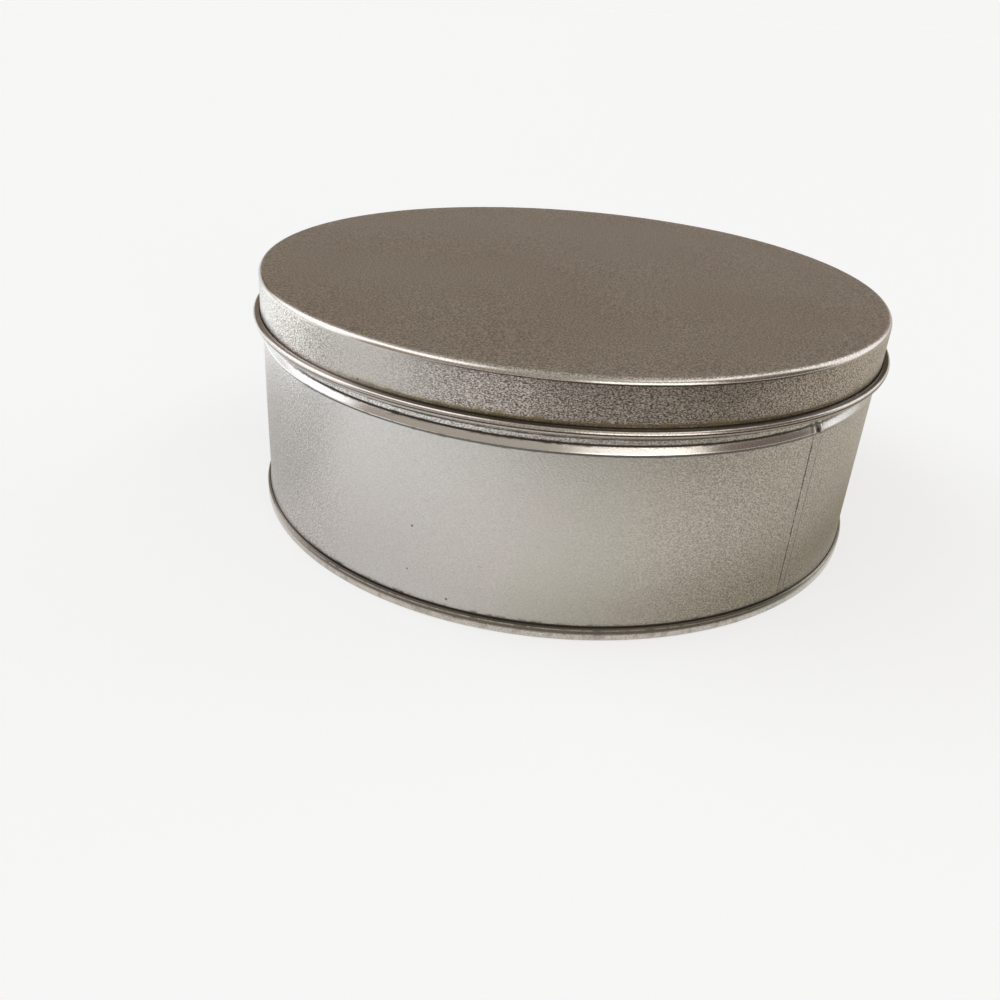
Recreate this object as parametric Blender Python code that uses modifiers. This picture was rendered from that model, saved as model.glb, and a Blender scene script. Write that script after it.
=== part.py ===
"""A round slip-lid tin: a drawn lid over a necked and lock-seamed body with a double-seamed base.

Metres, +Z up. The origin is the middle of the tin's footprint, on the surface that it stands on.
Every sheet is drawn by its middle line, as (radius, height), and given its thickness afterwards.
"""

import math

import bmesh
import bpy
from mathutils import Matrix, Vector

# The lid and the sheet
TIN_HEIGHT = 0.0566
LID_RADIUS = 0.0750
LID_DEPTH = 0.0113
LID_CORNER = 0.00128
LID_ROLL_DIAMETER = 0.00183
SHEET = 0.0002

# The body's mouth, neck and shoulder
RIM_ROLL_DIAMETER = 0.0009
ROLL_END_GAP = 0.00015
LID_CLEARANCE = 0.0003
WALL_INSET = 0.00034
NECK_SHOWN = 0.0021
NECK_FILLET = 0.0003
SHOULDER_ROUND = 0.0024

# The double seam that holds the base, and the base's recessed panel
SEAM_HEIGHT = 0.0029
SEAM_GAP = 0.00005
HOOK_END_GAP = 0.00025
SEAM_CORNER_SHARE = 0.3
BASE_RECESS = 0.0036
BASE_BEND = 0.0008
BASE_RIM_WIDTH = 0.0080
BASE_STEP_WIDTH = 0.0014
BASE_STEP_HEIGHT = 0.0005

# The lock seam up the side of the body, and the plain lap that continues it over shoulder and neck
LOCK_WIDTH = 0.0030
LOCK_SET_IN = 0.00005
LOCK_LAP = 0.0005
LOCK_CLEARANCE = 0.0007
LOCK_END_GAP = 0.00025
LAP_RISE = 0.00012
LAP_TOP_CLEARANCE = 0.0004
CUT_OVERRUN = 0.0020

# Angles in degrees: the side seam's place, from +X, the slope of its set-in sheet, and how far
# the shoulder's slope leans from upright
SEAM_AZIMUTH = -45.1
JOGGLE_SLOPE = 60.0
SHOULDER_SLOPE = 38.0

# How finely the turned sheets and their bends are divided
TURN_STEPS = 60
ROLL_PIECES = 10
RIM_PIECES = 8
FOLD_PIECES = 4
BEND_PIECES = 3
CORNER_PIECES = 4
AXIS_MERGE = 0.00001

# Colour, roughness and metallic value of the bright tinplate on each piece
FINISHES = {
    "lid": ((0.60, 0.57, 0.53, 1.0), 0.34, 1.0),
    "body_wall": ((0.64, 0.62, 0.59, 1.0), 0.32, 1.0),
    "base_end": ((0.58, 0.56, 0.53, 1.0), 0.36, 1.0),
}

# Middle lines and levels that the pieces share
HALF_SHEET = SHEET / 2
LAYER = SHEET + SEAM_GAP
SKIRT_LINE = LID_RADIUS - HALF_SHEET
RIM_OUTSIDE = LID_RADIUS - SHEET - LID_CLEARANCE
RIM_LEVEL = TIN_HEIGHT - HALF_SHEET - LID_CORNER + RIM_ROLL_DIAMETER / 2
NECK_LINE = RIM_OUTSIDE - RIM_ROLL_DIAMETER + HALF_SHEET
WALL_LINE = LID_RADIUS - WALL_INSET - HALF_SHEET
NECK_FOOT = TIN_HEIGHT - LID_DEPTH - NECK_SHOWN
SHOULDER_BENDS = NECK_FILLET + SHOULDER_ROUND
SHOULDER_FLAT = WALL_LINE - NECK_LINE - SHOULDER_BENDS * (1 - math.cos(math.radians(SHOULDER_SLOPE)))
SHOULDER_FALL = SHOULDER_FLAT / math.tan(math.radians(SHOULDER_SLOPE))
WALL_TOP = NECK_FOOT - SHOULDER_BENDS * math.sin(math.radians(SHOULDER_SLOPE)) - SHOULDER_FALL
LOWER_FOLD = SHEET + SEAM_GAP + LAYER + HALF_SHEET
UPPER_FOLD = SEAM_HEIGHT - LAYER - HALF_SHEET
PANEL_LEVEL = BASE_RECESS + HALF_SHEET
LOCK_FOOT = PANEL_LEVEL + BASE_STEP_HEIGHT + HALF_SHEET + LOCK_CLEARANCE
LOCK_TOP = WALL_TOP - LOCK_CLEARANCE


def arc(centre, radius, start, end, pieces):
    """Points along an arc, both ends included. Angles in degrees, anticlockwise from +X."""
    points = []
    for index in range(pieces + 1):
        angle = math.radians(start + (end - start) * index / pieces)
        points.append((centre[0] + radius * math.cos(angle), centre[1] + radius * math.sin(angle)))
    return points


def roll_sweep(radius):
    """Degrees that a rolled edge turns before its end comes near the wall that it left."""
    reach = (radius - HALF_SHEET - ROLL_END_GAP) / (radius + HALF_SHEET)
    return 180 + math.degrees(math.acos(-reach))


def lid_profile():
    """Panel, corner, skirt, and the edge rolled outwards."""
    panel = TIN_HEIGHT - HALF_SHEET
    centre = (SKIRT_LINE - LID_CORNER, panel - LID_CORNER)
    roll = LID_ROLL_DIAMETER / 2 - HALF_SHEET
    roll_level = TIN_HEIGHT - LID_DEPTH + LID_ROLL_DIAMETER / 2
    points = [(0, panel)]
    points += arc(centre, LID_CORNER, 90, 0, CORNER_PIECES)
    points += arc((SKIRT_LINE + roll, roll_level), roll, 180, 180 + roll_sweep(roll), ROLL_PIECES)
    return points


def neck_to_wall():
    """The hollow bend at the neck's foot, the shoulder's slope, and its round down to the wall."""
    fillet_centre = (NECK_LINE + NECK_FILLET, NECK_FOOT)
    shoulder_centre = (WALL_LINE - SHOULDER_ROUND, WALL_TOP)
    points = arc(fillet_centre, NECK_FILLET, 180, 180 + SHOULDER_SLOPE, BEND_PIECES)
    return points + arc(shoulder_centre, SHOULDER_ROUND, SHOULDER_SLOPE, 0, CORNER_PIECES)


def body_profile():
    """Rim rolled outwards, neck, shoulder, wall, and the hook turned up inside the base seam."""
    roll = RIM_ROLL_DIAMETER / 2 - HALF_SHEET
    roll_level = RIM_LEVEL - RIM_ROLL_DIAMETER / 2
    points = arc((NECK_LINE + roll, roll_level), roll, 180 - roll_sweep(roll), 180, RIM_PIECES)
    points += neck_to_wall()
    points += arc((WALL_LINE + LAYER, LOWER_FOLD), LAYER, 180, 360, FOLD_PIECES)
    points.append((WALL_LINE + 2 * LAYER, UPPER_FOLD - HOOK_END_GAP))
    return points


def base_profile():
    """Stepped panel, chuck wall, standing ring, seam wall, and the hook turned down inside it."""
    chuck_line = WALL_LINE - LAYER
    seam_line = WALL_LINE + 3 * LAYER
    corner = (seam_line - chuck_line) * SEAM_CORNER_SHARE
    step_foot = chuck_line - BASE_RIM_WIDTH
    ring_level = HALF_SHEET + corner
    points = [
        (0, PANEL_LEVEL + BASE_STEP_HEIGHT),
        (step_foot - BASE_STEP_WIDTH, PANEL_LEVEL + BASE_STEP_HEIGHT),
        (step_foot, PANEL_LEVEL),
    ]
    points += arc((chuck_line - BASE_BEND, PANEL_LEVEL - BASE_BEND), BASE_BEND, 90, 0, BEND_PIECES)
    points += arc((chuck_line + corner, ring_level), corner, 180, 270, BEND_PIECES)
    points += arc((seam_line - corner, ring_level), corner, 270, 360, BEND_PIECES)
    points += arc((WALL_LINE + 2 * LAYER, UPPER_FOLD), LAYER, 0, 180, FOLD_PIECES)
    points.append((WALL_LINE + LAYER, LOWER_FOLD + HOOK_END_GAP))
    return points


def lock_sheets():
    """Plan middle lines of the two hooked edges, as (along the wall, inwards), and the window.

    Seen from outside, the sheet from the right lies outermost and folds under at the open
    groove. The sheet from the left is set in at the groove, passes behind, and hooks forward
    into that fold.
    """
    fold = (LAYER - LOCK_WIDTH / 2, LOCK_SET_IN + LAYER)
    far_fold = (LOCK_WIDTH / 2 - LAYER, LOCK_SET_IN + 2 * LAYER)
    set_in = arc(fold, 2 * LAYER, 90 + JOGGLE_SLOPE, 90, BEND_PIECES)
    slant = (set_in[0][1] - LOCK_SET_IN) / math.tan(math.radians(JOGGLE_SLOPE))
    groove = set_in[0][0] - slant
    behind = [(groove - LOCK_LAP, LOCK_SET_IN), (groove, LOCK_SET_IN)] + set_in
    behind += arc(far_fold, LAYER, 90, -90, FOLD_PIECES)
    behind.append((fold[0] + LOCK_END_GAP, LOCK_SET_IN + LAYER))
    front = [(LOCK_WIDTH / 2 + LOCK_LAP, LOCK_SET_IN)]
    front += arc(fold, LAYER, 270, 90, FOLD_PIECES)
    front.append((far_fold[0] - LOCK_END_GAP, LOCK_SET_IN + 2 * LAYER))
    return behind, front, (groove, LOCK_WIDTH / 2)


def new_object(name, mesh, collection):
    made = bpy.data.objects.new(name, mesh)
    collection.objects.link(made)
    return made


def path_mesh(name, points):
    """A mesh of edges only, along the points."""
    mesh = bpy.data.meshes.new(name)
    edges = [(index, index + 1) for index in range(len(points) - 1)]
    mesh.from_pydata(points, edges, [])
    return mesh


def thicken(made):
    """Gives the open surface the sheet's thickness, half on each side."""
    solid = made.modifiers.new("sheet", "SOLIDIFY")
    solid.thickness = SHEET
    solid.offset = 0
    solid.use_even_offset = True


def turned_sheet(name, profile, collection):
    """A sheet turned about +Z, with the middle of one facet on the side seam's azimuth."""
    made = new_object(name, path_mesh(name, [(r, 0, z) for r, z in profile]), collection)
    made.rotation_euler.z = math.radians(SEAM_AZIMUTH + 180 / TURN_STEPS)
    turn = made.modifiers.new("turn", "SCREW")
    turn.steps = TURN_STEPS
    turn.render_steps = TURN_STEPS
    turn.use_smooth_shade = True
    turn.use_merge_vertices = True
    turn.merge_threshold = AXIS_MERGE
    thicken(made)
    return made


def seam_frame():
    """Matrix from (along the wall, inwards, up) to the facet that carries the side seam."""
    inwards = -Vector((math.cos(math.radians(SEAM_AZIMUTH)), math.sin(math.radians(SEAM_AZIMUTH)), 0))
    along = Vector((inwards.y, -inwards.x, 0))
    up = Vector((0, 0, 1))
    facet = inwards * -WALL_LINE * math.cos(math.pi / TURN_STEPS)
    return Matrix.Translation(facet) @ Matrix((along, inwards, up)).transposed().to_4x4()


def pulled_sheet(name, points, pull, collection):
    """A sheet drawn by pulling a line of points along one direction of the seam's frame."""
    shape = bmesh.new()
    mesh = path_mesh(name, points)
    shape.from_mesh(mesh)
    pulled = bmesh.ops.extrude_edge_only(shape, edges=shape.edges[:])
    far_side = [item for item in pulled["geom"] if isinstance(item, bmesh.types.BMVert)]
    bmesh.ops.translate(shape, verts=far_side, vec=pull)
    shape.to_mesh(mesh)
    shape.free()
    made = new_object(name, mesh, collection)
    made.matrix_world = seam_frame()
    thicken(made)
    return made


def window_cutter(span, collection):
    """The block that opens the wall where the two hooked edges meet."""
    shape = bmesh.new()
    bmesh.ops.create_cube(shape, size=1)
    size = (span[1] - span[0], CUT_OVERRUN, LOCK_TOP - LOCK_FOOT)
    bmesh.ops.scale(shape, verts=shape.verts, vec=size)
    middle = ((span[0] + span[1]) / 2, 0, (LOCK_FOOT + LOCK_TOP) / 2)
    bmesh.ops.translate(shape, verts=shape.verts, vec=middle)
    mesh = bpy.data.meshes.new("seam_window")
    shape.to_mesh(mesh)
    shape.free()
    made = new_object("seam_window", mesh, collection)
    made.matrix_world = seam_frame()
    return made


def lap_points():
    """One edge of the lap: down the neck, over the shoulder, to the top of the lock seam."""
    top = RIM_LEVEL - RIM_ROLL_DIAMETER - LAP_TOP_CLEARANCE
    line = [(NECK_LINE, top)] + neck_to_wall() + [(WALL_LINE, LOCK_TOP)]
    flatten = math.cos(math.pi / TURN_STEPS)
    left = -LOCK_WIDTH / 2
    return [(left, (WALL_LINE - r) * flatten - LAP_RISE, z + LAP_RISE) for r, z in line]


def combine(target, other, operation):
    change = target.modifiers.new(other.name, "BOOLEAN")
    change.operation = operation
    change.object = other
    other.hide_render = True
    other.display_type = "WIRE"


def add_side_seam(wall, helpers):
    """Opens the wall, hooks its two edges together, and laps them where the lid goes on."""
    behind, front, span = lock_sheets()
    combine(wall, window_cutter(span, helpers), "DIFFERENCE")
    rise = (0, 0, LOCK_TOP - LOCK_FOOT + 2 * LOCK_LAP)
    for name, path in (("edge_behind", behind), ("edge_in_front", front)):
        points = [(along, inwards, LOCK_FOOT - LOCK_LAP) for along, inwards in path]
        combine(wall, pulled_sheet(name, points, rise, helpers), "UNION")
    lap = pulled_sheet("lap", lap_points(), (LOCK_WIDTH, 0, 0), helpers)
    combine(wall, lap, "UNION")


def tinplate(name):
    """Bright tinplate in the colour of one piece."""
    colour, roughness, metallic = FINISHES[name]
    material = bpy.data.materials.new("tinplate_" + name)
    material.use_nodes = True
    shader = material.node_tree.nodes["Principled BSDF"]
    shader.inputs["Base Color"].default_value = colour
    shader.inputs["Roughness"].default_value = roughness
    shader.inputs["Metallic"].default_value = metallic
    return material


def new_collection(name):
    made = bpy.data.collections.new(name)
    bpy.context.scene.collection.children.link(made)
    return made


def build():
    for old in list(bpy.data.objects):
        bpy.data.objects.remove(old)
    parts = new_collection("round_tin")
    helpers = new_collection("cutters")
    lid = turned_sheet("lid", lid_profile(), parts)
    wall = turned_sheet("body_wall", body_profile(), parts)
    base = turned_sheet("base_end", base_profile(), parts)
    add_side_seam(wall, helpers)
    for piece in (lid, wall, base):
        piece.data.materials.append(tinplate(piece.name))


build()
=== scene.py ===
"""A round slip-lid tin in bright stippled tinplate, on a pale floor under soft light.

Metres, +Z up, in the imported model's frame: the origin is the middle of the tin's footprint. Every
sheet is drawn by its middle line, as (radius, height), and turned about +Z with both its faces.
"""

import math

import bmesh
import bpy
from mathutils import Matrix, Vector, noise


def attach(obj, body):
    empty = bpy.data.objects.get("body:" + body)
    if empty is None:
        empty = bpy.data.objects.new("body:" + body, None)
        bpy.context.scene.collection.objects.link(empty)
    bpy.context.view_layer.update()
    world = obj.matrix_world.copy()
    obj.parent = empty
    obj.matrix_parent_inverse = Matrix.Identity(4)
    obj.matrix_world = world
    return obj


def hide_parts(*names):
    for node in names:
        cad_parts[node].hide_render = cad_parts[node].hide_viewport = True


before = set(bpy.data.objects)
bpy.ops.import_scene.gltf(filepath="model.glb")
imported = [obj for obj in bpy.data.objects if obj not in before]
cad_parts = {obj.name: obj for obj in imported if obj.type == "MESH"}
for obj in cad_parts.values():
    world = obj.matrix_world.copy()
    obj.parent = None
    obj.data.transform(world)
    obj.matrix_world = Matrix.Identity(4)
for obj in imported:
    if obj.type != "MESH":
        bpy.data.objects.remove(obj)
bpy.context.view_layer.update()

# The lid and the sheet
TIN_HEIGHT = 0.0566
LID_RADIUS = 0.0750
LID_DEPTH = 0.0113
LID_CORNER = 0.00128
LID_ROLL_DIAMETER = 0.00183
SHEET = 0.0002

# The body's mouth, neck and shoulder
RIM_ROLL_DIAMETER = 0.0009
ROLL_END_GAP = 0.00015
LID_CLEARANCE = 0.0003
WALL_INSET = 0.00034
NECK_SHOWN = 0.0021
NECK_FILLET = 0.0003
SHOULDER_ROUND = 0.0010
SHOULDER_SLOPE = 27.0

# The double seam that holds the base, and the base's recessed panel
SEAM_HEIGHT = 0.0029
SEAM_GAP = 0.00005
HOOK_END_GAP = 0.00025
SEAM_CORNER_SHARE = 0.3
BASE_RECESS = 0.0036
BASE_BEND = 0.0008
BASE_RIM_WIDTH = 0.0080
BASE_STEP_WIDTH = 0.0014
BASE_STEP_HEIGHT = 0.0005

# Middle lines and levels that the pieces share
HALF_SHEET = SHEET / 2
LAYER = SHEET + SEAM_GAP
SKIRT_LINE = LID_RADIUS - HALF_SHEET
RIM_OUTSIDE = LID_RADIUS - SHEET - LID_CLEARANCE
RIM_LEVEL = TIN_HEIGHT - HALF_SHEET - LID_CORNER + RIM_ROLL_DIAMETER / 2
NECK_LINE = RIM_OUTSIDE - RIM_ROLL_DIAMETER + HALF_SHEET
WALL_LINE = LID_RADIUS - WALL_INSET - HALF_SHEET
NECK_FOOT = TIN_HEIGHT - LID_DEPTH - NECK_SHOWN
SHOULDER_TURN = math.radians(SHOULDER_SLOPE)
SHOULDER_BENDS = NECK_FILLET + SHOULDER_ROUND
SHOULDER_FLAT = WALL_LINE - NECK_LINE - SHOULDER_BENDS * (1 - math.cos(SHOULDER_TURN))
SHOULDER_FALL = SHOULDER_FLAT / math.tan(SHOULDER_TURN)
WALL_TOP = NECK_FOOT - SHOULDER_BENDS * math.sin(SHOULDER_TURN) - SHOULDER_FALL
LOWER_FOLD = SHEET + SEAM_GAP + LAYER + HALF_SHEET
UPPER_FOLD = SEAM_HEIGHT - LAYER - HALF_SHEET
PANEL_LEVEL = BASE_RECESS + HALF_SHEET
CURL_TOP = TIN_HEIGHT - LID_DEPTH + LID_ROLL_DIAMETER

# The lock seam, measured along the wall from its middle: rightwards seen from outside is positive
SEAM_AZIMUTH = -45.1
LOCK_HALF = 0.0015
GROOVE_LEFT = -0.00205
GROOVE_FLOOR = -0.00170
FOLD_CREST = -0.00120
GROOVE_DEPTH = 0.00042
LOCK_SET_IN = 0.00006
LOCK_FADE = 0.0006
LOCK_BULGE = 0.00075
LOCK_BULGE_SIDE = 0.0004

# The plain lap that carries the seam over the shoulder: its span, rise and the dent in it
LAP_LEFT = -0.0024
LAP_RIGHT = 0.0010
LAP_EDGE = 0.00025
LAP_RISE = 0.00014
LAP_FOOT = 0.0403
LAP_FULL = 0.0414
DENT_MIDDLE = -0.0007
DENT_HALF = 0.0010
DENT_DEPTH = 0.00030

# Gentle waves that rolling and handling left in the sheets, all inwards: depth, length, where they
# fade, and a number for each piece that makes its waves its own
WAVE_DEPTH = 0.00020
WAVE_LENGTH = 0.028
RIPPLE_DEPTH = 0.00004
RIPPLE_LENGTH = 0.0045
SKIRT_WAVE_SHARE = 0.4
PANEL_WAVES_END = 0.065
AXIS_CALM = 0.010
BASE_WAVES_END = 0.060
BASE_CALM = 0.066
LID_SEED = 3.0
BODY_SEED = 7.0
BASE_SEED = 11.0

# How finely the sheets and their bends are divided
TURN_STEPS = 288
SEAM_REACH = 0.0042
SEAM_FINE = 0.00007
SEAM_COARSE = 0.00022
WALL_SPACING = 0.0014
SLOPE_SPACING = 0.0003
PANEL_SPACING = 0.0040
ROLL_PIECES = 26
FOLD_PIECES = 10
BEND_PIECES = 8
CORNER_PIECES = 12
EDGE_PIECES = 4

# The dome of light: a dim ceiling over warm walls, darker behind the tin
CEILING = (0.535, 0.525, 0.465, 1)
WALLS = (0.46, 0.39, 0.32, 1)
WALLS_BEHIND = (0.165, 0.110, 0.060, 1)
CEILING_FROM = 5.3
CEILING_FULL = 61.5
BEHIND_FROM = -0.55
BEHIND_FULL = 0.31

# Tall soft windows in the dome, the first of them dark, in degrees: azimuth from +X, half width of
# the core and of the edge, elevations of the foot and the head, and colour
WINDOWS = [
    (-12, 10, 30, 2, 36, (0.20, 0.16, 0.13, 1)),
    (168, 14, 30, -4, 56, (1.95, 1.97, 2.02, 1)),
    (200, 16, 46, 40, 72, (1.95, 1.97, 2.00, 1)),
    (-60, 12, 27, -3, 28, (2.60, 2.48, 2.26, 1)),
    (31, 11, 25, -6, 52, (1.48, 1.47, 1.45, 1)),
    (-16, 14, 62, 48, 64, (1.80, 1.79, 1.76, 1)),
]
WINDOW_FOOT_FADE = 4.0
WINDOW_HEAD_FADE = 14.0

# The pale haze above the horizon: its colour, and the elevations between which it fades
HAZE = (0.922, 0.922, 0.914, 1)
HAZE_FULL = 2.0
HAZE_TOP = 8.0

# The toned card that the metal sees round the tin, a sheet of painted shade and light: its radii and
# level, and its colours
CARD_RADII = (0.0770, 8.0)
CARD_LEVEL = 0.0004
CARD_STEPS = 96
CARD_LIGHT = (0.950, 0.955, 0.985, 1)
CARD_WARM_SHADE = (0.59, 0.56, 0.49, 1)
TONE_LEFT = -0.15
TONE_RIGHT = 0.13

# Its patches, painted shadows at the tin's foot and in front and a painted pool of light at the left:
# azimuth, half width of the core and of the edge in degrees, the radii where the patch starts and is
# full, and colour
CARD_PATCHES = [
    (225, 12, 42, (0.135, 0.080), (0.780, 0.775, 0.780, 1)),
    (-18, 6, 100, (0.112, 0.078), (0.375, 0.345, 0.270, 1)),
    (190, 35, 78, (0.158, 0.172), (0.900, 0.970, 1.000, 1)),
    (184, 14, 30, (0.166, 0.150), (0.680, 0.680, 0.690, 1)),
    (-64, 10, 43, (0.172, 0.190), (0.010, 0.006, 0.005, 1)),
    (-68, 48, 81, (0.235, 0.262), (0.036, 0.015, 0.008, 1)),
]

# Its own glow, which is painted light, and the glowing patch at the left: azimuth, half widths, radii
# and strength
CARD_LIFT = 0.10
GLOW_SIDE = (165.0, 8.0, 27.0)
GLOW_RADII = (0.158, 0.172)
GLOW_STRENGTH = 0.75

# The floor, and the matt finish that it shares with the card
MATT_ROUGHNESS = 0.9
MATT_SPECULAR = 0.1
FLOOR_HALF = 30.0
FLOOR_GLOW = 0.62
FLOOR_COLOUR = (0.94, 0.95, 0.985, 1)

# The camera: its place, aim and lens
CAMERA_PLACE = (0.0, -0.23237, 0.11429)
CAMERA_YAW = -0.0591
CAMERA_PITCH = 0.4884
CAMERA_ROLL = -0.0710
CAMERA_LENS = 34.01
CAMERA_SENSOR = 36.0
CAMERA_NEAR = 0.01


def arc(centre, radius, start, end, pieces):
    """Points along an arc, both ends included. Angles in degrees, anticlockwise from +X."""
    points = []
    for index in range(pieces + 1):
        angle = math.radians(start + (end - start) * index / pieces)
        points.append((centre[0] + radius * math.cos(angle), centre[1] + radius * math.sin(angle)))
    return points


def roll_sweep(radius):
    """Degrees that a rolled edge turns before its end comes near the wall that it left."""
    reach = (radius - HALF_SHEET - ROLL_END_GAP) / (radius + HALF_SHEET)
    return 180 + math.degrees(math.acos(-reach))


def straight(start, end, spacing):
    """Points between two ends, neither included, no further apart than the spacing."""
    pieces = max(1, math.ceil(math.dist(start, end) / spacing))
    steps = [index / pieces for index in range(1, pieces)]
    return [(start[0] + (end[0] - start[0]) * t, start[1] + (end[1] - start[1]) * t) for t in steps]


def filled(line, spacing):
    """The line with its long straights divided."""
    points = [line[0]]
    for start, end in zip(line, line[1:]):
        points += straight(start, end, spacing) + [end]
    return points


def lid_profile():
    """Panel, corner, skirt, and the edge rolled outwards."""
    panel = TIN_HEIGHT - HALF_SHEET
    centre = (SKIRT_LINE - LID_CORNER, panel - LID_CORNER)
    roll = LID_ROLL_DIAMETER / 2 - HALF_SHEET
    roll_level = TIN_HEIGHT - LID_DEPTH + LID_ROLL_DIAMETER / 2
    bend = arc(centre, LID_CORNER, 90, 0, CORNER_PIECES)
    curl = arc((SKIRT_LINE + roll, roll_level), roll, 180, 180 + roll_sweep(roll), ROLL_PIECES)
    points = filled([(0, panel), bend[0]], PANEL_SPACING)[:-1] + bend
    return points + straight(bend[-1], curl[0], WALL_SPACING) + curl


def neck_to_wall():
    """The hollow bend at the neck's foot, the shoulder's slope, and its round down to the wall."""
    fillet_centre = (NECK_LINE + NECK_FILLET, NECK_FOOT)
    shoulder_centre = (WALL_LINE - SHOULDER_ROUND, WALL_TOP)
    points = arc(fillet_centre, NECK_FILLET, 180, 180 + SHOULDER_SLOPE, BEND_PIECES)
    round_off = arc(shoulder_centre, SHOULDER_ROUND, SHOULDER_SLOPE, 0, CORNER_PIECES)
    return points + straight(points[-1], round_off[0], SLOPE_SPACING) + round_off


def body_profile():
    """Rim rolled outwards, neck, shoulder, wall, and the hook turned up inside the base seam."""
    roll = RIM_ROLL_DIAMETER / 2 - HALF_SHEET
    roll_level = RIM_LEVEL - RIM_ROLL_DIAMETER / 2
    curl = arc((NECK_LINE + roll, roll_level), roll, 180 - roll_sweep(roll), 180, ROLL_PIECES)
    neck = neck_to_wall()
    hook = arc((WALL_LINE + LAYER, LOWER_FOLD), LAYER, 180, 360, FOLD_PIECES)
    points = curl + straight(curl[-1], neck[0], WALL_SPACING) + neck
    points += straight(neck[-1], hook[0], WALL_SPACING) + hook
    points.append((WALL_LINE + 2 * LAYER, UPPER_FOLD - HOOK_END_GAP))
    return points


def base_profile():
    """Stepped panel, chuck wall, standing ring, seam wall, and the hook turned down inside it."""
    chuck_line = WALL_LINE - LAYER
    seam_line = WALL_LINE + 3 * LAYER
    corner = (seam_line - chuck_line) * SEAM_CORNER_SHARE
    step_foot = chuck_line - BASE_RIM_WIDTH
    ring_level = HALF_SHEET + corner
    panel = [
        (0, PANEL_LEVEL + BASE_STEP_HEIGHT),
        (step_foot - BASE_STEP_WIDTH, PANEL_LEVEL + BASE_STEP_HEIGHT),
    ]
    step = []
    for index in range(1, BEND_PIECES + 1):
        share = index / BEND_PIECES
        drop = BASE_STEP_HEIGHT * (1 + math.cos(math.pi * share)) / 2
        step.append((step_foot - BASE_STEP_WIDTH * (1 - share), PANEL_LEVEL + drop))
    bend = arc((chuck_line - BASE_BEND, PANEL_LEVEL - BASE_BEND), BASE_BEND, 90, 0, BEND_PIECES)
    points = filled(panel, PANEL_SPACING) + step + straight(step[-1], bend[0], PANEL_SPACING) + bend
    points += arc((chuck_line + corner, ring_level), corner, 180, 270, BEND_PIECES)
    points += arc((seam_line - corner, ring_level), corner, 270, 360, BEND_PIECES)
    points += arc((WALL_LINE + 2 * LAYER, UPPER_FOLD), LAYER, 0, 180, FOLD_PIECES)
    points.append((WALL_LINE + LAYER, LOWER_FOLD + HOOK_END_GAP))
    return points


def normals(line):
    """Unit directions across the line at its points, with the mitre that keeps the sheet even."""
    across = []
    for start, end in zip(line, line[1:]):
        way = (Vector(end) - Vector(start)).normalized()
        across.append(Vector((-way.y, way.x)))
    found = [across[0]]
    for before, after in zip(across, across[1:]):
        middle = (before + after).normalized()
        found.append(middle / middle.dot(after))
    return found + [across[-1]]


def end_round(normal, side):
    """Directions round a sheet's cut edge, from one face to the other."""
    way = Vector((normal.y, -normal.x)) * side
    turns = [math.pi * index / EDGE_PIECES for index in range(1, EDGE_PIECES)]
    return [normal * side * math.cos(turn) + way * math.sin(turn) for turn in turns]


def sheet_outline(line):
    """A closed section of the sheet: (middle point, direction to the surface, which face)."""
    points = [Vector(point) for point in line]
    across = normals(line)
    section = [(point, normal, 1) for point, normal in zip(points, across)]
    section += [(points[-1], way, 1) for way in end_round(across[-1], 1)]
    section += [(point, -normal, -1) for point, normal in zip(points[::-1], across[::-1])]
    if line[0][0] > 0:
        section += [(points[0], way, -1) for way in end_round(across[0], -1)]
    return section


def smooth(low, high, value):
    """0 below low, 1 above high, and a smooth step between them."""
    share = min(1.0, max(0.0, (value - low) / (high - low)))
    return share * share * (3 - 2 * share)


def bell(distance, half_width):
    """1 in the middle, falling smoothly to 0 at the half width."""
    return 1 - smooth(0, half_width, abs(distance))


def groove_relief(along):
    """How far the wall's outer face stands in or out across the lock seam."""
    if along < FOLD_CREST:
        left = -GROOVE_DEPTH * smooth(GROOVE_LEFT, GROOVE_FLOOR, along)
        right = smooth(GROOVE_FLOOR, FOLD_CREST, along)
        return left + (GROOVE_DEPTH - LOCK_SET_IN) * math.sqrt(right)
    return -LOCK_SET_IN * (1 - smooth(LOCK_HALF, LOCK_HALF + LOCK_FADE, along))


def lap_relief(along):
    """The raised lap on the shoulder, with the dent where the folded layers end."""
    rise = smooth(LAP_LEFT - LAP_EDGE, LAP_LEFT, along)
    rise *= 1 - smooth(LAP_RIGHT, LAP_RIGHT + LAP_EDGE, along)
    return LAP_RISE * rise - DENT_DEPTH * bell(along - DENT_MIDDLE, DENT_HALF)


def bulge_relief(along):
    """How far the folded layers stand out inside the tin."""
    left = smooth(GROOVE_FLOOR - LOCK_BULGE_SIDE, GROOVE_FLOOR, along)
    right = 1 - smooth(LOCK_HALF, LOCK_HALF + LOCK_BULGE_SIDE, along)
    return -LOCK_BULGE * left * right


def seam_relief(radius, height, along, outside):
    """Outward relief of the body's side seam at one place."""
    if abs(along) > SEAM_REACH or radius < NECK_LINE - HALF_SHEET:
        return 0.0
    over_shoulder = smooth(LAP_FOOT, LAP_FULL, height)
    below_rim = 1 - smooth(RIM_LEVEL - 2 * RIM_ROLL_DIAMETER, RIM_LEVEL - RIM_ROLL_DIAMETER, height)
    above_base = smooth(LOWER_FOLD, LOWER_FOLD + LOCK_FADE, height)
    lap = lap_relief(along) * over_shoulder * below_rim
    if outside:
        return groove_relief(along) * (1 - over_shoulder) * above_base + lap
    above_panel = smooth(PANEL_LEVEL + LOCK_FADE, PANEL_LEVEL + 2 * LOCK_FADE, height)
    return bulge_relief(along) * (1 - over_shoulder) * above_panel + min(lap, 0.0)


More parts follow.
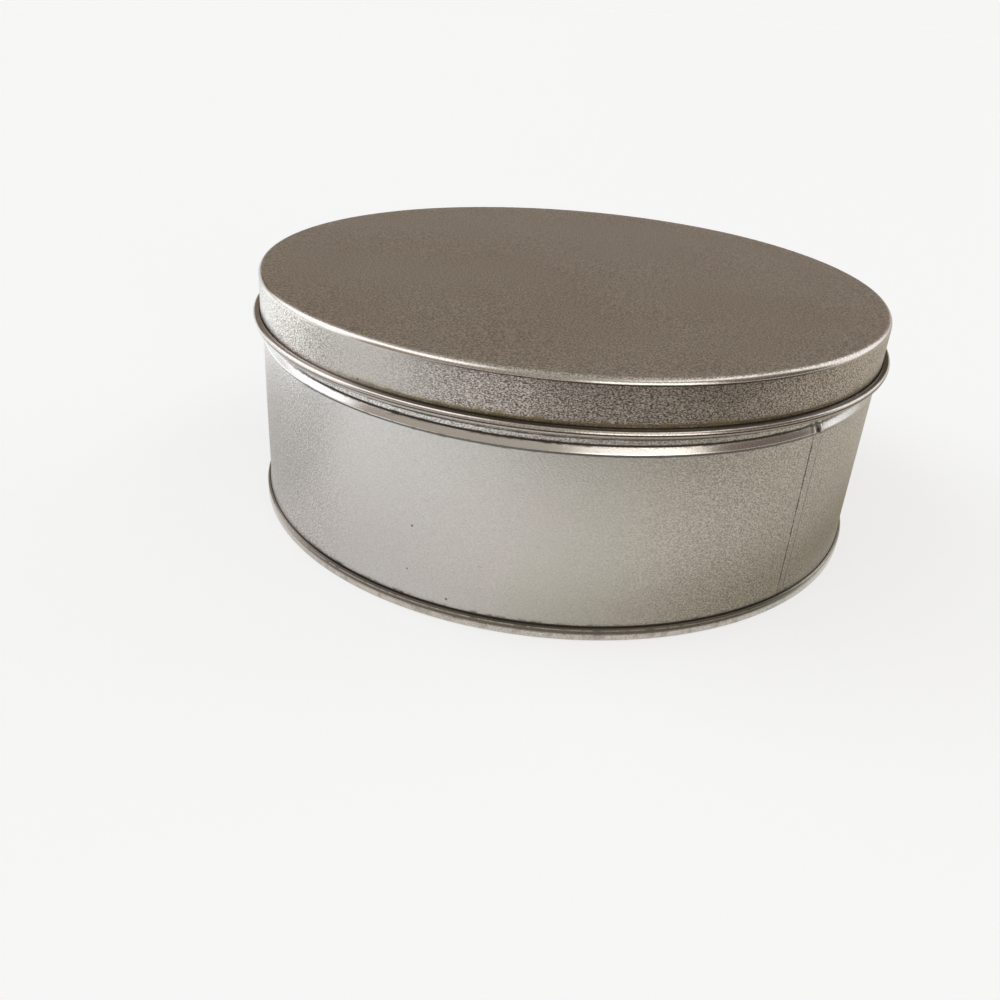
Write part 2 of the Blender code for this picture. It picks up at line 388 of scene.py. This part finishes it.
def waves(place, seed):
    """The sheet's slight unevenness at a place, never outwards."""
    slow = noise.noise(place / WAVE_LENGTH + Vector((seed, 0, 0)))
    quick = noise.noise(place / RIPPLE_LENGTH + Vector((0, seed, 0)))
    return (WAVE_DEPTH * (slow - 1) + RIPPLE_DEPTH * (quick - 1)) / 2


def turn_angles():
    """Angles of the turned columns in radians, closer together at the side seam."""
    seam = math.radians(SEAM_AZIMUTH)
    reach = SEAM_REACH / WALL_LINE
    step = 2 * math.pi / TURN_STEPS
    angles = []
    angle = seam + reach
    while angle < seam + 2 * math.pi - reach - step / 2:
        angles.append(angle)
        angle += step
    along = -SEAM_REACH
    while along < SEAM_REACH - SEAM_COARSE / 2:
        angles.append(seam + along / WALL_LINE)
        fine = GROOVE_LEFT - SEAM_COARSE < along < FOLD_CREST + SEAM_COARSE
        along += SEAM_FINE if fine else SEAM_COARSE
    return angles


def turned(name, line, angles, relief):
    """The sheet turned about +Z, as one closed mesh with both its faces and its cut edges."""
    section = sheet_outline(line)
    ring = len(section)
    on_axis = [index for index, (point, _, _) in enumerate(section) if point.x == 0]
    verts = []
    for angle in angles:
        outwards = Vector((math.cos(angle), math.sin(angle), 0))
        for point, normal, face in section:
            middle = outwards * point.x + Vector((0, 0, point.y))
            across = outwards * normal.x + Vector((0, 0, normal.y))
            push = relief(point, angle, middle, face)
            verts.append(middle + across * (HALF_SHEET + face * push))
    faces = []
    columns = len(angles)
    for column in range(columns):
        here = column * ring
        there = (column + 1) % columns * ring
        for index in range(ring):
            after = (index + 1) % ring
            if index in on_axis and after in on_axis:
                continue
            corners = [here + index, there + index, there + after, here + after]
            if index in on_axis:
                corners = [index, there + after, here + after]
            if after in on_axis:
                corners = [here + index, there + index, after]
            faces.append(corners)
    mesh = bpy.data.meshes.new(name)
    mesh.from_pydata([tuple(vert) for vert in verts], [], faces)
    mesh.validate()
    made = bpy.data.objects.new(name, mesh)
    bpy.context.scene.collection.objects.link(made)
    tidy(mesh)
    return made


def tidy(mesh):
    """Drops the unused points on the axis, turns all faces outwards and shades them smooth."""
    shape = bmesh.new()
    shape.from_mesh(mesh)
    loose = [vert for vert in shape.verts if not vert.link_faces]
    bmesh.ops.delete(shape, geom=loose, context="VERTS")
    bmesh.ops.recalc_face_normals(shape, faces=shape.faces[:])
    for face in shape.faces:
        face.smooth = True
    shape.to_mesh(mesh)
    shape.free()


def lid_relief(point, angle, middle, face):
    """The lid's unevenness."""
    share = 1 - (1 - SKIRT_WAVE_SHARE) * smooth(PANEL_WAVES_END, LID_RADIUS, point.x)
    share *= smooth(CURL_TOP, CURL_TOP + LID_ROLL_DIAMETER, point.y)
    return waves(middle, LID_SEED) * smooth(0.0, AXIS_CALM, point.x) * share


def body_relief(point, angle, middle, face):
    """The side seam and the wall's unevenness."""
    turn = (angle - math.radians(SEAM_AZIMUTH) + math.pi) % (2 * math.pi) - math.pi
    seam = seam_relief(point.x, point.y, turn * WALL_LINE, face == 1)
    return seam + waves(middle, BODY_SEED) * smooth(SEAM_HEIGHT, 2 * SEAM_HEIGHT, point.y)


def base_relief(point, angle, middle, face):
    """The base's unevenness, away from its seam."""
    calm = smooth(0.0, AXIS_CALM, point.x) * (1 - smooth(BASE_WAVES_END, BASE_CALM, point.x))
    return waves(middle, BASE_SEED) * calm


# Colours of the metal, of what dulls it, and of the painted shade
TINPLATE = (0.690, 0.678, 0.668, 1.0)
LID_TINPLATE = (0.580, 0.540, 0.512, 1.0)
# The base's tinplate, darker and browner: partly its dirt, partly painted shade at the tin's foot
BASE_TINPLATE = (0.550, 0.515, 0.465, 1.0)
PINKISH = (1.000, 0.965, 0.955, 1.0)
OLIVE = (0.965, 0.990, 0.940, 1.0)
# The dark colour of grime, and of the painted shade in folds and creases
GRIME_AND_SHADE = (0.045, 0.034, 0.022, 1.0)
DUST = (0.42, 0.40, 0.36, 1.0)
# Olive-brown band above the lid's curl: partly stain, partly a painted reflection of the curl in the
# skirt
STAIN_AND_REFLECTION = (0.66, 0.55, 0.27, 1.0)

# The stipple: its size, depth, and what is left of it on the polished bends
STIPPLE_SIZE = 0.00045
STIPPLE_FLATTEN = 1.5
STIPPLE_DETAIL = 1.5
STIPPLE_DEPTH = 0.00006
BEND_STIPPLE_SHARE = 0.08

# The grain: its size, where its noise is cut, its darkest and lightest tint, and its strength,
# least and most, on the lid, on the body, on the lid's panel and on the polished bends
GRAIN_SIZE = 0.00039
GRAIN_FLATTEN = 1.7
GRAIN_DETAIL = 2.5
GRAIN_CUT = (0.38, 0.62)
GRAIN_DARK = (0.32, 0.255, 0.225, 1.0)
GRAIN_LIGHT = (1.42, 1.42, 1.42, 1.0)
LID_GRAIN = (0.20, 0.88)
BODY_GRAIN = (0.12, 0.56)
PANEL_GRAIN = 0.60
BEND_GRAIN_SHARE = 0.3

# The sides where the grain, partly a painted sparkle of the stipple, is strongest, and where the painted
# shade in the folds is darkest: azimuth, and half width of the core and of the edge, in degrees
LID_GRAIN_SIDE = (-62.0, 26.0, 63.0)
BODY_GRAIN_SIDE = (-24.0, 14.0, 68.0)
LEFT_GRAIN_SIDE = (-160.0, 18.0, 42.0)
LEFT_GRAIN_SHARE = 0.8
LID_RING_SIDE = (-50.0, 50.0, 90.0)
BODY_RING_SIDE = (-90.0, 30.0, 62.0)

# Faint tints
TINT_SIZE = 0.022
TINT_DETAIL = 1.0
TINT_SHARE = 0.5
PINK_TINTS = (0.62, 0.42)
OLIVE_TINTS = (0.50, 0.70)

# Specks in groups, dust on the panel, and scratches
SPECK_SPACING = 0.0045
SPECK_CUT = (0.085, 0.04)
SPECK_GROUPS = 0.011
SPECK_GROUPS_DETAIL = 1.0
SPECK_GROUPS_CUT = (0.54, 0.62)
SPECK_SHARE = 0.85
DUST_SPACING = 0.0070
DUST_CUT = (0.030, 0.018)
SCRATCH_SIZE = 0.0050
SCRATCH_FLATTEN = 16.0
SCRATCH_DETAIL = 2.0
SCRATCH_CUT = (0.72, 0.77)
SCRATCH_SHARE = 0.35

# Grime and painted shade: the blotches in its halos and breaks, and how softly its lines and marks end
BLOTCH_SIZE = 0.0022
BLOTCH_DETAIL = 3.0
HALO_CUT = (0.42, 0.70)
BREAK_CUT = (0.36, 0.50)
BREAK_LEAST = 0.45
LINE_OUTER = 1.6
LINE_INNER = 0.7
MARK_FADE = 0.00012
BEND_FADE = 0.0003

# Roughness, and what scratches, grime with its painted shade, and pressing do to it
ROUGHNESS = (0.28, 0.31)
ROUGH_TINTS = (0.3, 0.7)
SCRATCH_ROUGHNESS = 0.10
GRIME_AND_SHADE_ROUGHNESS = 0.35
GRIME_AND_SHADE_DULLS = 0.7
BEND_ROUGHNESS = 0.17

# The polished bends: foot and top
LID_BENDS = [(0.0, CURL_TOP), (TIN_HEIGHT - LID_CORNER, TIN_HEIGHT - 2 * SHEET)]
BODY_BENDS = [(0.0, SEAM_HEIGHT), (WALL_TOP, RIM_LEVEL)]
BASE_BENDS = [(0.0, SEAM_HEIGHT)]

# Dark lines round the tin, painted shade in its creases and folds with some grime, and the stain and
# painted reflection above the lid's curl: level, half width, reach of the ragged halo, strength, and the
# share that is left of it away from the side where they are darkest
LID_RINGS = [
    (CURL_TOP - 0.00007, 0.00013, 0.0002, 1.0, 0.3),
    (CURL_TOP + 0.00050, 0.00004, 0.0007, 0.45, 0.1),
    (CURL_TOP - 0.00090, 0.00013, 0.0002, 0.95, 0.5),
    (CURL_TOP - 0.00165, 0.00015, 0.0002, 0.95, 0.5),
]
LID_STAINS_AND_REFLECTIONS = [(CURL_TOP + 0.00055, 0.00020, 0.0012, 0.80, 0.0)]
BODY_RINGS = [
    (SEAM_HEIGHT, 0.0003, 0.0010, 0.95, 0.25),
    (NECK_FOOT - 0.00025, 0.00018, 0.0005, 1.0, 0.15),
    (NECK_FOOT + 0.00095, 0.00010, 0.0003, 0.9, 0.15),
    (WALL_TOP - 0.00005, 0.00015, 0.0004, 0.85, 0.1),
]
BASE_RINGS = [
    (SEAM_HEIGHT - 0.00010, 0.00018, 0.0006, 0.95, 0.35),
    (SEAM_HEIGHT - 0.00090, 0.00032, 0.0008, 0.78, 0.15),
    (SEAM_HEIGHT / 2, 0.00005, 0.0020, 0.35, 0.10),
]

# Dark marks in the dent, past the lap, in the groove and at the fold's end, painted shade in the seam's
# crevices with some grime: left and right end along the wall, lean, foot, top and strength
BODY_MARKS = [
    (DENT_MIDDLE - 0.1 * DENT_HALF, DENT_MIDDLE + 0.7 * DENT_HALF, 0.0, LAP_FULL, NECK_FOOT, 1.0),
    (LAP_RIGHT, LAP_RIGHT + 1.6 * LAP_EDGE, 0.0, (LAP_FULL + NECK_FOOT) / 2, NECK_FOOT, 0.85),
    (GROOVE_FLOOR - 0.00010, GROOVE_FLOOR + 0.00022, 0.0, SEAM_HEIGHT, LAP_FOOT, 0.95),
    (0.00000, 0.00020, 0.0235, SEAM_HEIGHT, LAP_FOOT, 0.5),
]


class Nodes:
    """Short ways to add and join the nodes of one material or world."""

    def __init__(self, tree):
        self.tree = tree

    def add(self, kind, **settings):
        node = self.tree.nodes.new(kind)
        for name, value in settings.items():
            setattr(node, name, value)
        return node

    def join(self, value, socket):
        if isinstance(value, bpy.types.NodeSocket):
            self.tree.links.new(value, socket)
        else:
            socket.default_value = value

    def math(self, operation, first, second=0.0):
        node = self.add("ShaderNodeMath", operation=operation)
        self.join(first, node.inputs[0])
        self.join(second, node.inputs[1])
        return node.outputs[0]

    def ramp(self, value, low, high, to_low=0.0, to_high=1.0):
        node = self.add("ShaderNodeMapRange", interpolation_type="SMOOTHSTEP")
        self.join(value, node.inputs["Value"])
        node.inputs["From Min"].default_value = low
        node.inputs["From Max"].default_value = high
        node.inputs["To Min"].default_value = to_low
        node.inputs["To Max"].default_value = to_high
        return node.outputs["Result"]

    def mix(self, share, first, second):
        node = self.add("ShaderNodeMix", data_type="RGBA")
        self.join(share, node.inputs["Factor"])
        self.join(first, node.inputs["A"])
        self.join(second, node.inputs["B"])
        return node.outputs["Result"]

    def stretched(self, place, scale):
        node = self.add("ShaderNodeMapping")
        self.join(place, node.inputs["Vector"])
        node.inputs["Scale"].default_value = scale
        return node.outputs["Vector"]

    def noise(self, place, size, detail):
        node = self.add("ShaderNodeTexNoise")
        self.join(place, node.inputs["Vector"])
        node.inputs["Scale"].default_value = 1 / size
        node.inputs["Detail"].default_value = detail
        return node.outputs["Fac"]

    def dot(self, vector, direction):
        node = self.add("ShaderNodeVectorMath", operation="DOT_PRODUCT")
        self.join(vector, node.inputs[0])
        node.inputs[1].default_value = direction
        return node.outputs["Value"]

    def cells(self, place, size):
        node = self.add("ShaderNodeTexVoronoi")
        self.join(place, node.inputs["Vector"])
        node.inputs["Scale"].default_value = 1 / size
        return node.outputs["Distance"]


def band(nodes, value, low, high, soft):
    """1 between two values, fading over the soft width outside them."""
    rise = nodes.ramp(value, low - soft, low)
    return nodes.math("MULTIPLY", rise, nodes.ramp(value, high + soft, high))


def heading(nodes, vector):
    """The level direction of a vector, with length 1."""
    level = nodes.add("ShaderNodeVectorMath", operation="MULTIPLY")
    nodes.join(vector, level.inputs[0])
    level.inputs[1].default_value = (1, 1, 0)
    unit = nodes.add("ShaderNodeVectorMath", operation="NORMALIZE")
    nodes.join(level.outputs["Vector"], unit.inputs[0])
    return unit.outputs["Vector"]


def lobe(nodes, level_way, azimuth, core, edge):
    """1 within the core's half width of an azimuth, falling to 0 at the edge's. In degrees."""
    turn = math.radians(azimuth)
    near = nodes.dot(level_way, (math.cos(turn), math.sin(turn), 0))
    return nodes.ramp(near, math.cos(math.radians(edge)), math.cos(math.radians(core)))


def shade_and_grime_ring(nodes, height, blotches, side, level, core, reach, strength, calm):
    """A line round the tin at one level, with a ragged halo, weaker away from one side: painted shade
    with some grime, or the stain and painted reflection above the lid's curl.
    """
    off = nodes.math("ABSOLUTE", nodes.math("SUBTRACT", height, level))
    line = nodes.ramp(off, LINE_OUTER * core, LINE_INNER * core)
    ragged = nodes.math("MULTIPLY", nodes.ramp(off, reach, core), nodes.ramp(blotches, *HALO_CUT))
    share = nodes.ramp(side, 0.0, 1.0, calm * strength, strength)
    return nodes.math("MULTIPLY", nodes.math("MAXIMUM", line, ragged), share)


def shade_and_grime_marks(nodes, place, height, blotches, marks):
    """Broken dark marks at the lock seam, on the outside of the wall: painted shade in its crevices,
    with some grime.
    """
    seam = math.radians(SEAM_AZIMUTH)
    along = nodes.dot(place, (-math.sin(seam), math.cos(seam), 0))
    outwards = nodes.dot(place, (math.cos(seam), math.sin(seam), 0))
    found = 0.0
    for left, right, lean, foot, top, strength in marks:
        leant = nodes.math("SUBTRACT", along, nodes.math("MULTIPLY", height, lean))
        mark = nodes.math("MULTIPLY", band(nodes, leant, left, right, MARK_FADE), strength)
        mark = nodes.math("MULTIPLY", mark, band(nodes, height, foot, top, MARK_FADE))
        found = nodes.math("MAXIMUM", found, mark)
    found = nodes.math("MULTIPLY", found, nodes.ramp(outwards, NECK_LINE / 2, NECK_LINE))
    return nodes.math("MULTIPLY", found, nodes.ramp(blotches, *BREAK_CUT, BREAK_LEAST, 1.0))


def tinted(colour, tint):
    """The colour under a tint."""
    return tuple(part * share for part, share in zip(colour[:3], tint[:3])) + (1.0,)


def distance_from_axis(nodes, place):
    """How far a place is from the tin's axis."""
    radius = nodes.add("ShaderNodeVectorMath", operation="LENGTH")
    nodes.join(nodes.stretched(place, (1, 1, 0)), radius.inputs[0])
    return radius.outputs["Value"]


def specks_and_scratches(nodes, place, off_panel):
    """Small dark specks in groups and faint level scratches, none of them on the panel."""
    specks = nodes.ramp(nodes.cells(place, SPECK_SPACING), *SPECK_CUT)
    groups = nodes.ramp(nodes.noise(place, SPECK_GROUPS, SPECK_GROUPS_DETAIL), *SPECK_GROUPS_CUT)
    specks = nodes.math("MULTIPLY", nodes.math("MULTIPLY", specks, groups), off_panel)
    flat = nodes.stretched(place, (1, 1, SCRATCH_FLATTEN))
    scratches = nodes.ramp(nodes.noise(flat, SCRATCH_SIZE, SCRATCH_DETAIL), *SCRATCH_CUT)
    return specks, nodes.math("MULTIPLY", scratches, off_panel)


def pressed_bends(nodes, height, bends, off_panel):
    """1 on the bends, which pressing has polished."""
    pressed = 0.0
    for foot, top in bends:
        pressed = nodes.math("MAXIMUM", pressed, band(nodes, height, foot, top, BEND_FADE))
    return nodes.math("MULTIPLY", pressed, off_panel)


def grain_strength(nodes, way, grains, grain_side, on_panel, off_panel, pressed):
    """Most on the sides where the stipple catches the light, as painted sparkle, the same all over the
    panel, and little on the polished bends.
    """
    # Painted sparkle: the grain is strongest on the sides where the stipple catches the light
    left = nodes.math("MULTIPLY", lobe(nodes, way, *LEFT_GRAIN_SIDE), LEFT_GRAIN_SHARE)
    side = nodes.math("MAXIMUM", lobe(nodes, way, *grain_side), left)
    strength = nodes.math("MULTIPLY", nodes.ramp(side, 0.0, 1.0, *grains), off_panel)
    strength = nodes.math("MAXIMUM", strength, nodes.math("MULTIPLY", on_panel, PANEL_GRAIN))
    return nodes.math("MULTIPLY", strength, nodes.ramp(pressed, 0.0, 1.0, 1.0, BEND_GRAIN_SHARE))


def metal_colour(nodes, place, metal, tints, strength):
    """The metal with its faint tints, and its grain at the given strength."""
    colour = nodes.mix(nodes.ramp(tints, *PINK_TINTS, 0.0, TINT_SHARE), metal, tinted(metal, PINKISH))
    colour = nodes.mix(nodes.ramp(tints, *OLIVE_TINTS, 0.0, TINT_SHARE), colour, tinted(metal, OLIVE))
    grain = nodes.noise(nodes.stretched(place, (1, 1, GRAIN_FLATTEN)), GRAIN_SIZE, GRAIN_DETAIL)
    dark, light = tinted(metal, GRAIN_DARK), tinted(metal, GRAIN_LIGHT)
    return nodes.mix(strength, colour, nodes.mix(nodes.ramp(grain, *GRAIN_CUT), dark, light))


def roughness(nodes, tints, scratches, grime_and_shade, pressed):
    """Slightly uneven, duller where it is scratched, dirty or painted with shade, and low on the
    polished bends.
    """
    rough = nodes.ramp(tints, *ROUGH_TINTS, *ROUGHNESS)
    rough = nodes.math("ADD", rough, nodes.math("MULTIPLY", scratches, SCRATCH_ROUGHNESS))
    rough = nodes.math("ADD", rough, nodes.math("MULTIPLY", grime_and_shade, GRIME_AND_SHADE_ROUGHNESS))
    polish = nodes.math("MULTIPLY", pressed, nodes.math("SUBTRACT", BEND_ROUGHNESS, rough))
    return nodes.math("ADD", rough, polish)


def stippled(nodes, place, pressed):
    """The stipple's surface direction, calmer on the polished bends."""
    flat = nodes.stretched(place, (1, 1, STIPPLE_FLATTEN))
    bump = nodes.add("ShaderNodeBump")
    bump.inputs["Distance"].default_value = STIPPLE_DEPTH
    nodes.join(nodes.ramp(pressed, 0.0, 1.0, 1.0, BEND_STIPPLE_SHARE), bump.inputs["Strength"])
    nodes.join(nodes.noise(flat, STIPPLE_SIZE, STIPPLE_DETAIL), bump.inputs["Height"])
    return bump.outputs["Normal"]


def tinplate(name, metal, grains, grain_side, side, rings, bends, marks=(), stains_and_reflections=()):
    """Bright tinplate with a fine stipple, faint tints, specks, scratches, and grime with painted shade
    in its folds.
    """
    material = bpy.data.materials.new(name)
    material.use_nodes = True
    shader = material.node_tree.nodes["Principled BSDF"]
    nodes = Nodes(material.node_tree)
    place = nodes.add("ShaderNodeTexCoord").outputs["Object"]
    height = nodes.dot(place, (0, 0, 1))
    way = heading(nodes, place)
    tints = nodes.noise(place, TINT_SIZE, TINT_DETAIL)
    blotches = nodes.noise(place, BLOTCH_SIZE, BLOTCH_DETAIL)
    darkest_side = lobe(nodes, way, *side)

    radius = distance_from_axis(nodes, place)
    on_panel = nodes.ramp(radius, SKIRT_LINE - LID_CORNER / 2, SKIRT_LINE - LID_CORNER)
    off_panel = nodes.math("SUBTRACT", 1.0, on_panel)
    pressed = pressed_bends(nodes, height, bends, off_panel)
    specks, scratches = specks_and_scratches(nodes, place, off_panel)
    dust = nodes.math("MULTIPLY", nodes.ramp(nodes.cells(place, DUST_SPACING), *DUST_CUT), on_panel)
    grime_and_shade = nodes.math("MULTIPLY", specks, SPECK_SHARE)
    grime_and_shade = nodes.math("MAXIMUM", grime_and_shade, nodes.math("MULTIPLY", scratches, SCRATCH_SHARE))
    # Painted shade in the folds and creases, with some grime
    for ring in rings:
        grime_and_shade = nodes.math("MAXIMUM", grime_and_shade, shade_and_grime_ring(nodes, height, blotches, darkest_side, *ring))
    # Painted shade in the seam's crevices, with some grime
    if marks:
        grime_and_shade = nodes.math("MAXIMUM", grime_and_shade, shade_and_grime_marks(nodes, place, height, blotches, marks))

    strength = grain_strength(nodes, way, grains, grain_side, on_panel, off_panel, pressed)
    colour = metal_colour(nodes, place, metal, tints, strength)
    # Olive-brown band above the curl: partly stain, partly a painted reflection of the curl
    for ring in stains_and_reflections:
        stain_and_reflection = shade_and_grime_ring(nodes, height, blotches, darkest_side, *ring)
        colour = nodes.mix(stain_and_reflection, colour, tinted(metal, STAIN_AND_REFLECTION))
    # Grime, with the painted shade of the folds and creases
    colour = nodes.mix(grime_and_shade, colour, GRIME_AND_SHADE)
    nodes.join(nodes.mix(dust, colour, DUST), shader.inputs["Base Color"])
    dull = nodes.math("MAXIMUM", nodes.math("MULTIPLY", grime_and_shade, GRIME_AND_SHADE_DULLS), dust)
    nodes.join(nodes.math("SUBTRACT", 1.0, dull), shader.inputs["Metallic"])
    nodes.join(roughness(nodes, tints, scratches, grime_and_shade, pressed), shader.inputs["Roughness"])
    nodes.join(stippled(nodes, place, pressed), shader.inputs["Normal"])
    return material


def add_piece(made, node, body, material):
    """Puts the finish on a piece, hangs it on the body that it rides on, and hides the model's part that
    it stands for.
    """
    made.data.materials.append(material)
    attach(made, body)
    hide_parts(node)


def build_tin():
    """The three sheets."""
    even = [2 * math.pi * index / TURN_STEPS for index in range(TURN_STEPS)]
    lid = turned("lid_shell", lid_profile(), even, lid_relief)
    body = turned("body_shell", body_profile(), turn_angles(), body_relief)
    base = turned("base_shell", base_profile(), even, base_relief)
    lid_metal = tinplate("lid_tinplate", LID_TINPLATE, LID_GRAIN, LID_GRAIN_SIDE, LID_RING_SIDE, LID_RINGS,
                         LID_BENDS, stains_and_reflections=LID_STAINS_AND_REFLECTIONS)
    body_metal = tinplate("body_tinplate", TINPLATE, BODY_GRAIN, BODY_GRAIN_SIDE, BODY_RING_SIDE, BODY_RINGS,
                          BODY_BENDS, marks=BODY_MARKS)
    base_metal = tinplate("base_tinplate", BASE_TINPLATE, LID_GRAIN, LID_GRAIN_SIDE, BODY_RING_SIDE,
                          BASE_RINGS, BASE_BENDS)
    add_piece(lid, "lid", "cover", lid_metal)
    add_piece(body, "body_wall", "container", body_metal)
    add_piece(base, "base_end", "container", base_metal)


def diffuse(name, colour):
    """A plain matt finish."""
    material = bpy.data.materials.new(name)
    material.use_nodes = True
    shader = material.node_tree.nodes["Principled BSDF"]
    shader.inputs["Base Color"].default_value = colour
    shader.inputs["Roughness"].default_value = MATT_ROUGHNESS
    shader.inputs["Specular IOR Level"].default_value = MATT_SPECULAR
    return material


def add_stage(name, verts, faces, material):
    """One object of the set."""
    mesh = bpy.data.meshes.new(name)
    mesh.from_pydata(verts, [], faces)
    mesh.materials.append(material)
    made = bpy.data.objects.new(name, mesh)
    bpy.context.scene.collection.objects.link(made)
    return made


def floor_finish():
    """A matt pale finish that is partly lit by itself, so that the shadow on it stays light."""
    material = diffuse("floor", FLOOR_COLOUR)
    shader = material.node_tree.nodes["Principled BSDF"]
    nodes = Nodes(material.node_tree)
    path = nodes.add("ShaderNodeLightPath").outputs
    seen = nodes.math("MAXIMUM", path["Is Camera Ray"], path["Is Glossy Ray"])
    seen = nodes.math("MAXIMUM", seen, path["Is Transmission Ray"])
    glow = nodes.add("ShaderNodeEmission")
    mixed = nodes.add("ShaderNodeMixShader")
    nodes.join(nodes.math("MULTIPLY", seen, FLOOR_GLOW), mixed.inputs[0])
    nodes.join(shader.outputs["BSDF"], mixed.inputs[1])
    nodes.join(glow.outputs["Emission"], mixed.inputs[2])
    nodes.join(mixed.outputs["Shader"], material.node_tree.nodes["Material Output"].inputs["Surface"])
    return material


def add_floor():
    """A wide pale floor."""
    size = FLOOR_HALF
    corners = [(-size, -size, 0), (size, -size, 0), (size, size, 0), (-size, size, 0)]
    add_stage("floor", corners, [(0, 1, 2, 3)], floor_finish())


def card_finish():
    """A matt card that glows a little: painted light at the left, a warm painted shade at the right and
    a dark painted shadow in front.
    """
    material = diffuse("card", CARD_LIGHT)
    shader = material.node_tree.nodes["Principled BSDF"]
    nodes = Nodes(material.node_tree)
    place = nodes.add("ShaderNodeTexCoord").outputs["Object"]
    across = nodes.dot(place, (1, 0, 0))
    length = nodes.add("ShaderNodeVectorMath", operation="LENGTH")
    nodes.join(place, length.inputs[0])
    radius = length.outputs["Value"]
    way = heading(nodes, place)
    # Painted shade: the card turns warmer and darker towards the right
    colour = nodes.mix(nodes.ramp(across, TONE_LEFT, TONE_RIGHT), CARD_LIGHT, CARD_WARM_SHADE)
    # Painted shadows at the tin's foot and in front, and a painted pool of light at the left
    for azimuth, core, edge, radii, patch in CARD_PATCHES:
        share = nodes.math("MULTIPLY", lobe(nodes, way, azimuth, core, edge), nodes.ramp(radius, *radii))
        colour = nodes.mix(share, colour, patch)
    nodes.join(colour, shader.inputs["Base Color"])
    # Painted light: the card glows a little all over, and most at the left
    glow = nodes.math("MULTIPLY", lobe(nodes, way, *GLOW_SIDE), nodes.ramp(radius, *GLOW_RADII))
    nodes.join(nodes.ramp(glow, 0.0, 1.0, CARD_LIFT, GLOW_STRENGTH), shader.inputs["Emission Strength"])
    nodes.join(colour, shader.inputs["Emission Color"])
    return material


def add_card():
    """A toned card round the tin, painted with shadows and light, which shows only in reflections."""
    verts = []
    for index in range(CARD_STEPS):
        angle = 2 * math.pi * index / CARD_STEPS
        for radius in CARD_RADII:
            verts.append((radius * math.cos(angle), radius * math.sin(angle), CARD_LEVEL))
    count = 2 * CARD_STEPS
    faces = [(i, i + 1, (i + 3) % count, (i + 2) % count) for i in range(0, count, 2)]
    card = add_stage("card", verts, faces, card_finish())
    card.visible_camera = False
    card.visible_shadow = False
    card.visible_diffuse = False


def sine(degrees):
    """The height on the dome of an elevation."""
    return math.sin(math.radians(degrees))


def add_world():
    """A dome of soft light: a dim ceiling, warm walls, tall windows and haze on the horizon."""
    world = bpy.data.worlds.new("studio")
    bpy.context.scene.world = world
    world.use_nodes = True
    nodes = Nodes(world.node_tree)
    background = world.node_tree.nodes["Background"]
    place = nodes.add("ShaderNodeTexCoord").outputs["Generated"]
    height = nodes.dot(place, (0, 0, 1))
    way = heading(nodes, place)
    behind = nodes.ramp(nodes.dot(way, (0, 1, 0)), BEHIND_FROM, BEHIND_FULL)
    colour = nodes.mix(behind, WALLS, WALLS_BEHIND)
    colour = nodes.mix(nodes.ramp(height, sine(CEILING_FROM), sine(CEILING_FULL)), colour, CEILING)
    for azimuth, core, edge, foot, head, light in WINDOWS:
        share = lobe(nodes, way, azimuth, core, edge)
        low = nodes.ramp(height, sine(foot - WINDOW_FOOT_FADE), sine(foot + WINDOW_FOOT_FADE))
        high = nodes.ramp(height, sine(head + WINDOW_HEAD_FADE), sine(head - WINDOW_HEAD_FADE))
        share = nodes.math("MULTIPLY", share, nodes.math("MULTIPLY", low, high))
        colour = nodes.mix(share, colour, light)
    haze = nodes.ramp(height, sine(HAZE_TOP), sine(HAZE_FULL))
    nodes.join(nodes.mix(haze, colour, HAZE), background.inputs["Color"])


def add_camera():
    """The photograph's viewing angle."""
    lens = bpy.data.cameras.new("camera")
    lens.lens = CAMERA_LENS
    lens.sensor_width = CAMERA_SENSOR
    lens.sensor_fit = "HORIZONTAL"
    lens.clip_start = CAMERA_NEAR
    camera = bpy.data.objects.new("camera", lens)
    bpy.context.scene.collection.objects.link(camera)
    turn = Matrix.Rotation(-CAMERA_YAW, 4, "Z")
    tilt = Matrix.Rotation(math.pi / 2 - CAMERA_PITCH, 4, "X")
    roll = Matrix.Rotation(-CAMERA_ROLL, 4, "Z")
    camera.matrix_world = Matrix.Translation(CAMERA_PLACE) @ turn @ tilt @ roll
    bpy.context.scene.camera = camera


build_tin()
add_floor()
add_card()
add_world()
add_camera()
bpy.context.scene.view_settings.view_transform = "Standard"
